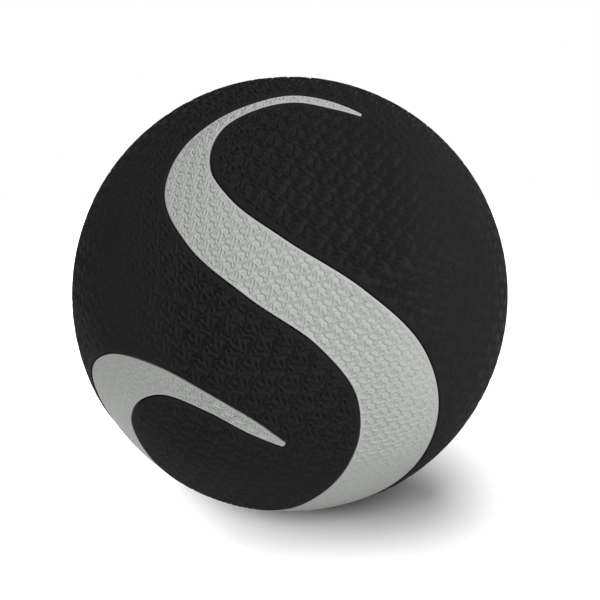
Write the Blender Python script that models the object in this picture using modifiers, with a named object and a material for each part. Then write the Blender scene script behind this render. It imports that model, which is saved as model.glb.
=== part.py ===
"""Slam ball: a two-tone rubber ball, filled with sand so that it lands dead.

Metres, +Z up. The origin is the middle of the small flat that the loaded ball
settles on, and the side with the large S of the swirl faces -Y. From outside in
the ball is a cover in two halves with two grey swirls let into it, a wound
carcass, a bladder and the sand. A neck through the wall takes the filling plug.
"""

import math

import bmesh
import bpy
from mathutils import Vector

# Ball and wall, from the outside in
BALL_DIAMETER = 0.230
REST_FLAT_RADIUS = 0.012
COVER_WALL = 0.006
CARCASS_WALL = 0.0025
BLADDER_WALL = 0.002
FIT_GAP = 0.0003

# Lap joint where the two halves of the cover meet
LAP_HEIGHT = 0.004
LAP_WALL = 0.003

# Swirl inlays, and the grooves with a rolled lip that they lie in
SWIRL_THICKNESS = 0.003
SWIRL_RECESS = 0.0008
SWIRL_EDGE_ROUND = 0.0005
LIP_WIDTH = 0.0014

# Stations along the middle of a swirl, from its upper tip to its lower tip:
# degrees round from the front, degrees of latitude, and width
SWIRL_STATIONS = (
    (48, 66.5, 0.0025),
    (38, 71.5, 0.007),
    (3, 77, 0.008),
    (-29, 72, 0.007),
    (-42, 61.5, 0.010),
    (-41.5, 52.5, 0.018),
    (-36, 43.5, 0.026),
    (-24, 35, 0.0295),
    (-6, 25, 0.032),
    (12.5, 13, 0.034),
    (25, -2, 0.040),
    (29.5, -16, 0.045),
    (30, -32, 0.0485),
    (26, -48, 0.049),
    (13.5, -64.5, 0.0465),
    (-22.5, -71.5, 0.042),
    (-58, -63.5, 0.039),
    (-64.5, -48.5, 0.0375),
    (-61.5, -32, 0.037),
    (-57, -18, 0.0365),
    (-47, -9, 0.028),
    (-33.5, -5.5, 0.015),
    (-19, -9.5, 0.0095),
    (-9, -15, 0.008),
    (-2, -19.5, 0.0025),
)

# Filling neck and its plug, on a line through the ball's centre
FILL_AZIMUTH = 222
FILL_LATITUDE = 32
PLUG_HEAD_RADIUS = 0.0095
PLUG_HEAD_THICKNESS = 0.0022
PLUG_HEAD_RECESS = 0.0003
SHANK_TOP_RADIUS = 0.0048
SHANK_END_RADIUS = 0.0042
SHANK_LENGTH = 0.0115
NECK_RADIUS = 0.007
FLANGE_RADIUS = 0.014
FLANGE_THICKNESS = 0.002
PATCH_RADIUS = 0.022
PATCH_THICKNESS = 0.0012
CORE_RADIUS = 0.002
CORE_LENGTH = 0.009
NEEDLE_HOLE_RADIUS = 0.0008
NEEDLE_GUIDE_DEPTH = 0.002

# Top of the settled sand, above the ball's centre
SAND_LEVEL = 0.005

# Facets
TURN_STEPS = 48
INNER_TURN_STEPS = 24
OUTER_RINGS = 12
INNER_RINGS = 6
SMALL_TURN_STEPS = 20
SMALL_ARC_RINGS = 3
SWIRL_STEP = 0.010
SWIRL_ACROSS = 4
MERGE_DISTANCE = 0.00001
SHARP_ANGLE = math.radians(30)
RIGHT_ANGLE = math.pi / 2

# How far a cutter stands past what it cuts
CUT_PAST = 0.0004
BORE_PAST = 0.006

# Radii from the ball's centre, and the centre's height, that follow from these sizes
BALL_RADIUS = BALL_DIAMETER / 2
CENTRE_HEIGHT = math.sqrt(BALL_RADIUS**2 - REST_FLAT_RADIUS**2)
COVER_INNER = BALL_RADIUS - COVER_WALL
LAP_OUTER = COVER_INNER + LAP_WALL
CARCASS_OUTER = COVER_INNER - FIT_GAP
CARCASS_INNER = CARCASS_OUTER - CARCASS_WALL
BLADDER_OUTER = CARCASS_INNER - FIT_GAP
BLADDER_INNER = BLADDER_OUTER - BLADDER_WALL
SAND_RADIUS = BLADDER_INNER - FIT_GAP
PATCH_OUTER = BLADDER_INNER - FIT_GAP
PATCH_INNER = PATCH_OUTER - PATCH_THICKNESS
FLANGE_OUTER = PATCH_INNER - FIT_GAP
FLANGE_INNER = FLANGE_OUTER - FLANGE_THICKNESS
SWIRL_TOP = BALL_RADIUS - SWIRL_RECESS
SWIRL_BOTTOM = SWIRL_TOP - SWIRL_THICKNESS
PLUG_TOP = BALL_RADIUS - PLUG_HEAD_RECESS
PLUG_SEAT = BALL_RADIUS - PLUG_HEAD_RECESS - PLUG_HEAD_THICKNESS
SEAT_FLOOR = PLUG_SEAT - FIT_GAP
NECK_TOP = SEAT_FLOOR
SHANK_END = PLUG_SEAT - SHANK_LENGTH
CORE_TOP = SHANK_END + CORE_LENGTH

BLACK_RUBBER = (0.020, 0.020, 0.021)
GREY_RUBBER = (0.43, 0.44, 0.42)
INNER_RUBBER = (0.035, 0.032, 0.030)
CORD_BROWN = (0.30, 0.22, 0.13)
BUTYL_BLACK = (0.012, 0.012, 0.013)
SAND_BROWN = (0.46, 0.36, 0.23)
GUM_AMBER = (0.42, 0.24, 0.08)


def clear_scene():
    for obj in list(bpy.data.objects):
        bpy.data.objects.remove(obj, do_unlink=True)


def make_collection(name):
    collection = bpy.data.collections.new(name)
    bpy.context.scene.collection.children.link(collection)
    return collection


def make_material(name, colour, roughness):
    material = bpy.data.materials.new(name)
    material.use_nodes = True
    shader = material.node_tree.nodes["Principled BSDF"]
    shader.inputs["Base Color"].default_value = (*colour, 1)
    shader.inputs["Roughness"].default_value = roughness
    shader.inputs["Metallic"].default_value = 0
    return material


def make_empty(name, collection, parent=None):
    empty = bpy.data.objects.new(name, None)
    empty.parent = parent
    collection.objects.link(empty)
    return empty


def add_object(name, mesh, collection, parent, material=None):
    if material and not mesh.materials:
        mesh.materials.append(material)
    obj = bpy.data.objects.new(name, mesh)
    obj.parent = parent
    collection.objects.link(obj)
    return obj


def make_cutter(obj):
    obj.hide_render = True
    obj.display_type = "WIRE"
    return obj


def cut(obj, cutter):
    boolean = obj.modifiers.new("Cut " + cutter.name, "BOOLEAN")
    boolean.operation = "DIFFERENCE"
    boolean.solver = "EXACT"
    boolean.object = cutter


def arc(radius, start, end, count):
    """Points (x, z) of an arc about the centre, by angle from +Z in radians."""
    angles = [start + (end - start) * i / count for i in range(count + 1)]
    return [(radius * math.sin(a), radius * math.cos(a)) for a in angles]


def arc_to_radii(sphere_radius, start, end, count):
    """Points (x, z) on a sphere of this radius, from one distance off the axis to another."""
    return arc(sphere_radius, math.asin(start / sphere_radius), math.asin(end / sphere_radius), count)


def turned(name, profile, closed, steps, collection, parent, material=None):
    """A profile of (x, z) points turned about Z. It runs down its outer side."""
    mesh = bpy.data.meshes.new(name)
    count = len(profile)
    edges = [(i, i + 1) for i in range(count - 1)]
    if closed:
        edges.append((count - 1, 0))
    mesh.from_pydata([(x, 0, z) for x, z in profile], edges, [])
    obj = add_object(name, mesh, collection, parent, material)
    screw = obj.modifiers.new("Turn", "SCREW")
    screw.axis = "Z"
    screw.steps = screw.render_steps = steps
    screw.use_smooth_shade = True
    screw.use_merge_vertices = True
    screw.merge_threshold = MERGE_DISTANCE
    return obj


def cover_upper_profile():
    """Upper half, rebated inside at the rim for the lower half's tongue."""
    rebate = LAP_OUTER + FIT_GAP
    top_of_rebate = LAP_HEIGHT + FIT_GAP
    outer = arc(BALL_RADIUS, 0, math.acos(FIT_GAP / BALL_RADIUS), OUTER_RINGS)
    lap = [(rebate, FIT_GAP), (rebate, top_of_rebate), (inner_wall_at(top_of_rebate), top_of_rebate)]
    inner = arc(COVER_INNER, RIGHT_ANGLE, 0, INNER_RINGS)[1:]
    return outer + lap + inner


def cover_lower_profile():
    """Lower half, with a tongue inside its rim and a small flat to rest on."""
    inner = arc(COVER_INNER, math.pi, RIGHT_ANGLE, INNER_RINGS)
    tongue = [(inner_wall_at(LAP_HEIGHT), LAP_HEIGHT), (LAP_OUTER, LAP_HEIGHT), (LAP_OUTER, 0)]
    flat_angle = math.pi - math.asin(REST_FLAT_RADIUS / BALL_RADIUS)
    outer = arc(BALL_RADIUS, RIGHT_ANGLE, flat_angle, OUTER_RINGS)
    return inner + tongue + outer + [(0, -CENTRE_HEIGHT)]


def inner_wall_at(height):
    """Distance from the axis to the cover's inner wall, on the first facet above its rim."""
    (low_x, low_z), (high_x, high_z) = arc(COVER_INNER, RIGHT_ANGLE, 0, INNER_RINGS)[:2]
    return low_x + (high_x - low_x) * (height - low_z) / (high_z - low_z)


def ball_profile(radius):
    """A whole sphere, with its rings at the same angles as every other inner surface."""
    return arc(radius, 0, math.pi, 2 * INNER_RINGS)


def neck_profile():
    """Sleeve through the wall with a curved flange inside and a tapered bore."""
    outer_side = [(NECK_RADIUS, NECK_TOP)]
    flange_top = arc_to_radii(FLANGE_OUTER, NECK_RADIUS, FLANGE_RADIUS, SMALL_ARC_RINGS)
    bore_end = SHANK_END_RADIUS + FIT_GAP
    flange_under = arc_to_radii(FLANGE_INNER, FLANGE_RADIUS, bore_end, SMALL_ARC_RINGS)
    return outer_side + flange_top + flange_under + [(SHANK_TOP_RADIUS + FIT_GAP, NECK_TOP)]


def patch_profile():
    """Ring of rubber on the inside of the bladder that the flange pulls against."""
    hole = NECK_RADIUS + FIT_GAP
    top = arc_to_radii(PATCH_OUTER, hole, PATCH_RADIUS, SMALL_ARC_RINGS)
    under = arc_to_radii(PATCH_INNER, PATCH_RADIUS, hole, SMALL_ARC_RINGS)
    return top + under


def plug_profile():
    """Stopper with a head that follows the ball, a tapered shank and a bore for the core."""
    head = arc_to_radii(PLUG_TOP, NEEDLE_HOLE_RADIUS, PLUG_HEAD_RADIUS, SMALL_ARC_RINGS)
    under_head = [(PLUG_HEAD_RADIUS, PLUG_SEAT), (SHANK_TOP_RADIUS, PLUG_SEAT)]
    shank_end = [(SHANK_END_RADIUS, SHANK_END), (CORE_RADIUS + FIT_GAP, SHANK_END)]
    core_seat = [(CORE_RADIUS + FIT_GAP, CORE_TOP + FIT_GAP), (NEEDLE_HOLE_RADIUS, CORE_TOP + FIT_GAP)]
    return head + under_head + shank_end + core_seat


def core_profile():
    """Self-sealing gum cylinder with a dished top that guides the pump's needle."""
    dish = [(0, CORE_TOP - NEEDLE_GUIDE_DEPTH), (NEEDLE_HOLE_RADIUS, CORE_TOP)]
    return dish + [(CORE_RADIUS, CORE_TOP), (CORE_RADIUS, SHANK_END), (0, SHANK_END)]


def fill_bore_profile():
    """Counterbore for the plug's head, the neck's hole, and a round seat for the patch."""
    head = PLUG_HEAD_RADIUS + FIT_GAP
    hole = NECK_RADIUS + FIT_GAP
    patch = PATCH_RADIUS + FIT_GAP
    top = BALL_RADIUS + BORE_PAST
    bottom = BLADDER_INNER - BORE_PAST
    counterbore = [(0, top), (head, top), (head, SEAT_FLOOR), (hole, SEAT_FLOOR)]
    patch_seat = arc_to_radii(BLADDER_INNER, hole, patch, SMALL_ARC_RINGS)
    return counterbore + patch_seat + [(patch, bottom), (0, bottom)]


def sand_level_profile():
    """Everything above the settled sand."""
    top = SAND_RADIUS + BORE_PAST
    return [(0, top), (top, top), (top, SAND_LEVEL), (0, SAND_LEVEL)]


def direction(azimuth, latitude):
    """Unit vector from the centre. Azimuth 0 is the front, -Y, and 90 is +X."""
    a, b = math.radians(azimuth), math.radians(latitude)
    return Vector((math.cos(b) * math.sin(a), -math.cos(b) * math.cos(a), math.sin(b)))


def smooth_path():
    """Points and half widths along a swirl: a cubic through its stations."""
    rows = [(*direction(a, b), width / 2) for a, b, width in SWIRL_STATIONS]
    rows = [Vector(row) for row in rows]
    spans = [(rows[i + 1].xyz - rows[i].xyz).length for i in range(len(rows) - 1)]
    slopes = [(rows[i + 1] - rows[i]) / spans[i] for i in range(len(spans))]
    middle = [
        (slopes[i - 1] * spans[i] + slopes[i] * spans[i - 1]) / (spans[i - 1] + spans[i])
        for i in range(1, len(spans))
    ]
    tangents = [slopes[0], *middle, slopes[-1]]
    path = []
    for i, span in enumerate(spans):
        count = max(1, math.ceil(span * BALL_RADIUS / SWIRL_STEP))
        for t in (k / count for k in range(count)):
            start = rows[i] * (1 + 2 * t) + tangents[i] * span * t
            end = rows[i + 1] * (3 - 2 * t) - tangents[i + 1] * span * (1 - t)
            path.append(start * (1 - t) ** 2 + end * t**2)
    return path + [rows[-1]]


def swirl_section(half_width):
    """Inlay section as (sideways, radius, growth): rounded shoulders on a flat strip."""
    shoulder = SWIRL_TOP - SWIRL_EDGE_ROUND
    across = [2 * i / SWIRL_ACROSS - 1 for i in range(SWIRL_ACROSS + 1)]
    top = [(t * (half_width - SWIRL_EDGE_ROUND), SWIRL_TOP, 0) for t in across]
    bottom = [(-t * half_width, SWIRL_BOTTOM, 0) for t in across]
    return [(-half_width, shoulder, 0), *top, (half_width, shoulder, 0), *bottom]


def groove_section(half_width):
    """Section of the cut: floor and walls clear of the inlay, then the sloping lip."""
    flare = FIT_GAP + LIP_WIDTH * (SWIRL_RECESS + CUT_PAST) / SWIRL_RECESS
    wall = half_width + FIT_GAP
    lip = half_width + flare
    across = [2 * i / SWIRL_ACROSS - 1 for i in range(SWIRL_ACROSS + 1)]
    fine = [i / SWIRL_ACROSS - 1 for i in range(2 * SWIRL_ACROSS + 1)]
    top = [(t * lip, BALL_RADIUS + CUT_PAST, flare) for t in fine]
    floor = [(-t * wall, SWIRL_BOTTOM - FIT_GAP, FIT_GAP) for t in across]
    return [(-wall, SWIRL_TOP, FIT_GAP), *top, (wall, SWIRL_TOP, FIT_GAP), *floor]


def swirl_mesh(name, section):
    """A section swept along the swirl on the sphere. Its end rings move out by their growth."""
    path = smooth_path()
    bm = bmesh.new()
    rings = []
    last = len(path) - 1
    for i, row in enumerate(path):
        centre = row.xyz.normalized()
        along = path[min(i + 1, last)].xyz - path[max(i - 1, 0)].xyz
        along = (along - centre * along.dot(centre)).normalized()
        side = along.cross(centre)
        end = (i == last) - (i == 0)
        ring = []
        for sideways, radius, growth in section(row.w):
            a = sideways / BALL_RADIUS
            b = end * growth / BALL_RADIUS
            point = centre * math.cos(a) + side * math.sin(a)
            point = point * math.cos(b) + along * math.sin(b)
            ring.append(bm.verts.new(point.normalized() * radius))
        rings.append(ring)
    for one, two in zip(rings, rings[1:]):
        for k in range(len(one)):
            j = (k + 1) % len(one)
            bm.faces.new((one[k], one[j], two[j], two[k]))
    bm.faces.new(rings[0])
    bm.faces.new(rings[-1])
    bmesh.ops.recalc_face_normals(bm, faces=bm.faces)
    mesh = bpy.data.meshes.new(name)
    bm.to_mesh(mesh)
    bm.free()
    mesh.shade_smooth()
    mesh.set_sharp_from_angle(angle=SHARP_ANGLE)
    return mesh


def make_swirls(parts, cutters, centre):
    """Two equal inlays, half a turn apart, and the cutters of their grooves."""
    grey = make_material("grey rubber", GREY_RUBBER, 0.55)
    inlay = swirl_mesh("swirl_inlay", swirl_section)
    groove = swirl_mesh("swirl_groove", groove_section)
    grooves = []
    for place, turn in (("front", 0), ("rear", math.pi)):
        swirl = add_object("swirl_" + place, inlay, parts, centre, grey)
        cutter = make_cutter(add_object("groove_" + place, groove, cutters, centre))
        swirl.rotation_euler.z = cutter.rotation_euler.z = turn
        grooves.append(cutter)
    return grooves


def make_cover(parts, centre, grooves, bore):
    black = make_material("black rubber", BLACK_RUBBER, 0.6)
    upper = turned("cover_upper", cover_upper_profile(), False, TURN_STEPS, parts, centre, black)
    lower = turned("cover_lower", cover_lower_profile(), False, TURN_STEPS, parts, centre, black)
    for half in (upper, lower):
        for groove in grooves:
            cut(half, groove)
    cut(upper, bore)


def make_shell(name, outer, inner, parts, cutters, centre, bore, material):
    """A hollow sphere: the outer ball less the inner one, opened by the filling bore."""
    shell = turned(name, ball_profile(outer), False, INNER_TURN_STEPS, parts, centre, material)
    hollow = turned(name + "_hollow", ball_profile(inner), False, INNER_TURN_STEPS, cutters, centre)
    cut(shell, make_cutter(hollow))
    cut(shell, bore)


def make_filling(parts, axis):
    """Neck, patch, plug and needle core, each turned about the filling axis."""
    rubber = make_material("neck rubber", INNER_RUBBER, 0.6)
    gum = make_material("gum rubber", GUM_AMBER, 0.5)
    plug_rubber = make_material("plug rubber", BLACK_RUBBER, 0.5)
    turned("fill_neck", neck_profile(), True, SMALL_TURN_STEPS, parts, axis, rubber)
    turned("neck_patch", patch_profile(), True, SMALL_TURN_STEPS, parts, axis, rubber)
    turned("fill_plug", plug_profile(), True, SMALL_TURN_STEPS, parts, axis, plug_rubber)
    turned("needle_core", core_profile(), False, SMALL_TURN_STEPS, parts, axis, gum)


def make_sand(parts, cutters, centre):
    """Loose fill that lies level in the lower part of the bladder."""
    loose = make_material("dry sand", SAND_BROWN, 0.95)
    sand = turned("sand", ball_profile(SAND_RADIUS), False, INNER_TURN_STEPS, parts, centre, loose)
    level = turned("sand_level", sand_level_profile(), False, INNER_TURN_STEPS, cutters, centre)
    cut(sand, make_cutter(level))


def main():
    clear_scene()
    parts = make_collection("slam_ball")
    cutters = make_collection("cutters")
    centre = make_empty("ball_centre", parts)
    centre.location.z = CENTRE_HEIGHT
    fill_axis = make_empty("fill_axis", parts, centre)
    fill_axis.rotation_mode = "QUATERNION"
    fill_axis.rotation_quaternion = direction(FILL_AZIMUTH, FILL_LATITUDE).to_track_quat("Z", "Y")
    bore = turned("fill_bore", fill_bore_profile(), False, SMALL_TURN_STEPS, cutters, fill_axis)
    make_cutter(bore)

    grooves = make_swirls(parts, cutters, centre)
    make_cover(parts, centre, grooves, bore)
    cord = make_material("wound cord", CORD_BROWN, 0.9)
    butyl = make_material("butyl", BUTYL_BLACK, 0.5)
    make_shell("wound_carcass", CARCASS_OUTER, CARCASS_INNER, parts, cutters, centre, bore, cord)
    make_shell("bladder", BLADDER_OUTER, BLADDER_INNER, parts, cutters, centre, bore, butyl)
    make_filling(parts, fill_axis)
    make_sand(parts, cutters, centre)


main()
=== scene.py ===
# %% [markdown]
# # A two-tone rubber slam ball
#
# A slam ball is a sand-filled rubber ball that is thrown at the floor and lands dead. This lesson
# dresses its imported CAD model: a black cover in two halves with a moulded grip, two grey swirls let
# into it, and a filling plug at the back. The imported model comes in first, as a fixed frame that
# nothing here moves or resizes.

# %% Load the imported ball
import itertools
import math

import bmesh
import bpy
import numpy as np
from mathutils import Matrix, Vector
from mathutils.geometry import delaunay_2d_cdt


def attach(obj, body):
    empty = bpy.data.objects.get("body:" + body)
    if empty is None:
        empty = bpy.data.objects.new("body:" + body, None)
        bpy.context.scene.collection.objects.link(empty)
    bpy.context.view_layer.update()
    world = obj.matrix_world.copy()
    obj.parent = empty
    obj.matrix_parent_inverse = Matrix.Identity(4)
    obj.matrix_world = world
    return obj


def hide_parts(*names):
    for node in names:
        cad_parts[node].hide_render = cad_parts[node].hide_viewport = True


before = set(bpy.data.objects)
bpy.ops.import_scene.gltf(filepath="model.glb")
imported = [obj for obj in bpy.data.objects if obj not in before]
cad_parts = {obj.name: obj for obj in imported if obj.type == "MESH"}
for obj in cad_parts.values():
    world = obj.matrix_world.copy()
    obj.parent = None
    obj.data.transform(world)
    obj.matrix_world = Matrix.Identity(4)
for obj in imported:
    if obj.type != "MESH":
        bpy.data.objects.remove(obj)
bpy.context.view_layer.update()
scene = bpy.context.scene
scene.view_settings.view_transform = "Standard"
print("CAD nodes:", sorted(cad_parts))

# %% [markdown]
# ## Camera
#
# A ball looks round from anywhere, so the view is read from other things: how far down the camera looks,
# from where the top of the swirl meets the outline, and how near it is, from how much of the sphere
# shows. A short lens would stand too near for that. A long one seven radii away fits, and a small shift
# of the lens puts the ball where it belongs in the frame.

# %% Camera
BALL_RADIUS = 0.115
REST_FLAT_RADIUS = 0.012
CENTRE_HEIGHT = math.sqrt(BALL_RADIUS**2 - REST_FLAT_RADIUS**2)
CENTRE = np.array((0, 0, CENTRE_HEIGHT))
LOOK_DOWN = math.radians(19)
CAMERA_AWAY = 7 * BALL_RADIUS
SENSOR_WIDTH = 36
LENS_LENGTH = 90.65
LENS_SHIFT = (0.0169, -0.0091)

lens = bpy.data.cameras.new("camera")
lens.sensor_width = SENSOR_WIDTH
lens.lens = LENS_LENGTH
lens.shift_x, lens.shift_y = LENS_SHIFT
camera = bpy.data.objects.new("camera", lens)
level_away = CAMERA_AWAY * math.cos(LOOK_DOWN)
rise = CAMERA_AWAY * math.sin(LOOK_DOWN)
camera.location = (0, -level_away, CENTRE_HEIGHT + rise)
camera.rotation_euler = (math.pi / 2 - LOOK_DOWN, 0, 0)
scene.collection.objects.link(camera)
scene.camera = camera
print("camera is", round(CAMERA_AWAY, 3), "m from the ball's centre")

# %% [markdown]
# ## Paper floor
#
# The ball stands on a sheet of white paper, as small goods do in a studio. A swept backdrop would do
# too, but with a white world behind it one flat square is enough, and its edge doesn't show.

# %% Paper floor
PAPER_REACH = 0.6

paper_corners = [(x * PAPER_REACH, y * PAPER_REACH, 0) for x, y in ((-1, -1), (1, -1), (1, 1), (-1, 1))]
floor_mesh = bpy.data.meshes.new("floor")
floor_mesh.from_pydata(paper_corners, [], [(0, 1, 2, 3)])
floor = bpy.data.objects.new("floor", floor_mesh)
scene.collection.objects.link(floor)
print("paper is", 2 * PAPER_REACH, "m wide")

# %% [markdown]
# White paper would throw a lot of light up at the black underside, and a studio keeps that down with
# dark boards. One material can do the same: nearly white where the camera looks at it, and darker for
# light that bounces off it. A Light Path node tells the two apart.

# %% Two tones of paper
def even(level):
    """A grey with no tint."""
    return (level, level, level)


PAPER_BOUNCED, PAPER_SEEN = even(0.34), even(0.95)


def new_material(name):
    """A new material, its node tree and its shader."""
    material = bpy.data.materials.new(name)
    material.use_nodes = True
    return material, material.node_tree, material.node_tree.nodes["Principled BSDF"]


def feed(tree, socket, value):
    """Links an output to a socket, or sets a colour or a number on it."""
    if isinstance(value, bpy.types.NodeSocket):
        tree.links.new(value, socket)
    else:
        socket.default_value = (*value, 1) if isinstance(value, tuple) else value


def reckon(tree, operation, a, b):
    """A Math node on two outputs or numbers."""
    made = tree.nodes.new("ShaderNodeMath")
    made.operation = operation
    feed(tree, made.inputs[0], a)
    feed(tree, made.inputs[1], b)
    return made.outputs[0]


def blend(tree, share, first, second):
    """A colour mixed from two colours, or outputs, by an output."""
    made = tree.nodes.new("ShaderNodeMix")
    made.data_type = "RGBA"
    feed(tree, made.inputs["Factor"], share)
    feed(tree, made.inputs[6], first)
    feed(tree, made.inputs[7], second)
    return made.outputs[2]


def seen_directly(tree):
    """1 for what the camera, a reflection or clear material looks at, and 0 for bounced light."""
    path = tree.nodes.new("ShaderNodeLightPath")
    share = path.outputs["Is Camera Ray"]
    for ray in ("Is Glossy Ray", "Is Transmission Ray"):
        share = reckon(tree, "MAXIMUM", share, path.outputs[ray])
    return share


white_paper, tree, shader = new_material("white_paper")
shader.inputs["Roughness"].default_value = 1
shader.inputs["Specular IOR Level"].default_value = 0
feed(tree, shader.inputs["Base Color"], blend(tree, seen_directly(tree), PAPER_BOUNCED, PAPER_SEEN))
floor_mesh.materials.append(white_paper)
print("white_paper has", len(tree.nodes), "nodes")

# %% [markdown]
# ## Lamps
#
# Matte black rubber shows its shape only by soft differences in light. A small lamp high at the front
# right gives the ribs a bright and a dark side, a weaker one lower in front opens the shade, and one
# behind lights the back. They would throw hard shadows on the paper, so light linking leaves the paper
# out. Two more lamps light it alone: a very wide one above, for the soft shadow, and one in front.

# %% Lamps
LAMP_AIM = Vector((0, 0, 0.1))
# Name, place and width in metres, watts, and whether the paper is left out or lit alone.
LAMPS = (
    ("main", (0.77, -0.9, 1.71), 0.3, 22.5, "EXCLUDE"),
    ("front", (0.57, -1.78, 0.47), 0.6, 10.5, "EXCLUDE"),
    ("back", (0.1, 1.9, 0.45), 0.6, 12, "EXCLUDE"),
    ("paper_lamp", (-0.49, 0.05, 0.8), 3.0, 72, "INCLUDE"),
    ("paper_fill", (-0.2, -1.6, 1.0), 0.8, 14, "INCLUDE"),
)


def area_lamp(name, place, width, watts, paper):
    """Round soft lamp that faces the ball and skips the paper or lights it alone."""
    lamp = bpy.data.lights.new(name, "AREA")
    lamp.shape = "DISK"
    lamp.size = width
    lamp.energy = watts
    holder = bpy.data.objects.new(name, lamp)
    holder.location = place
    holder.rotation_euler = (LAMP_AIM - holder.location).to_track_quat("-Z", "Y").to_euler()
    scene.collection.objects.link(holder)
    lit = bpy.data.collections.new("lit_by_" + name)
    lit.objects.link(floor)
    lit.collection_objects[0].light_linking.link_state = paper
    holder.light_linking.receiver_collection = lit


for lamp_row in LAMPS:
    area_lamp(*lamp_row)
print("lamps:", [lamp_row[0] for lamp_row in LAMPS])

# %% [markdown]
# Lit by a white world the ball would look flat, yet the background has to be white. The Light Path
# serves again: the camera and reflections see pure white, and the light that fills the shade is dimmer.

# %% Dim world and white backdrop
WORLD_LIGHT, WHITE = even(0.26), even(1.0)

world = bpy.data.worlds.new("studio")
world.use_nodes = True
scene.world = world
tree = world.node_tree
fill = tree.nodes["Background"]
feed(tree, fill.inputs["Color"], WORLD_LIGHT)
backdrop = tree.nodes.new("ShaderNodeBackground")
feed(tree, backdrop.inputs["Color"], WHITE)
choose = tree.nodes.new("ShaderNodeMixShader")
feed(tree, choose.inputs["Fac"], seen_directly(tree))
feed(tree, choose.inputs[1], fill.outputs[0])
feed(tree, choose.inputs[2], backdrop.outputs[0])
feed(tree, tree.nodes["World Output"].inputs["Surface"], choose.outputs[0])
print("world gives", WORLD_LIGHT[0], "of white")

# %% [markdown]
# ## The line of the swirl
#
# Each swirl is a strip of grey rubber that runs down the ball in a long S, turns under it and ends in a
# hook. A Bezier curve shrink-wrapped onto a sphere could give its line, but not an exact edge. So it
# starts from a few stations on the sphere, with a width at each: the CAD model's, with slightly blunter
# tips. From here on a place on the ball is a unit vector from its centre, and numpy keeps that quick.

# %% Swirl stations
MM = 1000
# Azimuth and latitude in degrees, and the strip's width in metres.
SWIRL_STATIONS = (
    (48, 66.5, 0.0036),
    (38, 71.5, 0.007),
    (3, 77, 0.008),
    (-29, 72, 0.007),
    (-42, 61.5, 0.010),
    (-41.5, 52.5, 0.018),
    (-36, 43.5, 0.026),
    (-24, 35, 0.0295),
    (-6, 25, 0.032),
    (12.5, 13, 0.034),
    (25, -2, 0.040),
    (29.5, -16, 0.045),
    (30, -32, 0.0485),
    (26, -48, 0.049),
    (13.5, -64.5, 0.0465),
    (-22.5, -71.5, 0.042),
    (-58, -63.5, 0.039),
    (-64.5, -48.5, 0.0375),
    (-61.5, -32, 0.037),
    (-57, -18, 0.0365),
    (-47, -9, 0.028),
    (-33.5, -5.5, 0.015),
    (-19, -9.5, 0.0095),
    (-9, -15, 0.008),
    (-2, -19.5, 0.0034),
)


def direction(azimuth, latitude):
    """Unit vector from the centre. Azimuth 0 is the front, -Y, and 90 is +X."""
    a, b = np.radians(azimuth), np.radians(latitude)
    return np.array((np.cos(b) * np.sin(a), -np.cos(b) * np.cos(a), np.sin(b)))


STATIONS = np.array([(*direction(a, b), width / 2) for a, b, width in SWIRL_STATIONS])
print(len(STATIONS), "stations, up to", round(2 * STATIONS[:, 3].max() * MM), "mm wide")

# %% [markdown]
# A smooth cubic joins the stations. Its slope at each comes from the two spans beside it, so the line
# and the width run on without a kink, and it is then drawn back onto the sphere.

# %% Swirl line
LINE_STEP = 0.001


def unit(vectors):
    return vectors / np.linalg.norm(vectors, axis=-1, keepdims=True)


def dots(a, b):
    return (a * b).sum(-1, keepdims=True)


def swirl_line(rows, step):
    """Middle, ways along and across and half width of the swirl, every step or so."""
    spans = np.linalg.norm(np.diff(rows[:, :3], axis=0), axis=1)[:, None]
    slopes = np.diff(rows, axis=0) / spans
    inner = (slopes[:-1] * spans[1:] + slopes[1:] * spans[:-1]) / (spans[:-1] + spans[1:])
    tangents = np.vstack((slopes[:1], inner, slopes[-1:]))
    path = []
    for i, span in enumerate(spans):
        count = math.ceil(span[0] * BALL_RADIUS / step)
        t = np.arange(count)[:, None] / count
        start = rows[i] * (1 + 2 * t) + tangents[i] * span * t
        end = rows[i + 1] * (3 - 2 * t) - tangents[i + 1] * span * (1 - t)
        path.append(start * (1 - t) ** 2 + end * t**2)
    path = np.vstack((*path, rows[-1:]))
    middle = unit(path[:, :3])
    along = np.gradient(middle, axis=0)
    along = unit(along - middle * dots(along, middle))
    return middle, along, np.cross(along, middle), path[:, 3]


MIDDLE, ALONG, ACROSS, HALF = swirl_line(STATIONS, LINE_STEP)
line_steps = np.linalg.norm(np.diff(MIDDLE, axis=0), axis=1) * BALL_RADIUS
DISTANCE = np.concatenate(([0], np.cumsum(line_steps)))
SWIRL_LENGTH = DISTANCE[-1]
print("swirl is", round(SWIRL_LENGTH * MM), "mm long")

# %% [markdown]
# Two helpers use that line. One lays a flat pair of numbers, along and across, onto the ball, so that
# the strip can be drawn like a ribbon on a table. The other tells how far any place is outside the
# nearest edge of either swirl. The rear swirl is the front one turned half round.

# %% Along and across
HALF_TURN = np.array((-1, -1, 1))
NORTH = np.array((0, 0, 1))
BATCH = 20000


def on_swirl(s, t):
    """Places along and across the front swirl, which goes straight on past its ends."""
    inside = np.clip(s, 0, SWIRL_LENGTH)
    middle, along, across = (
        unit(np.stack([np.interp(inside, DISTANCE, row) for row in table.T], -1))
        for table in (MIDDLE, ALONG, ACROSS)
    )
    past = ((s - inside) / BALL_RADIUS)[..., None]
    aside = (t / BALL_RADIUS)[..., None]
    places = middle * np.cos(aside) + across * np.sin(aside)
    return unit(places * np.cos(past) + along * np.sin(past))


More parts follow.
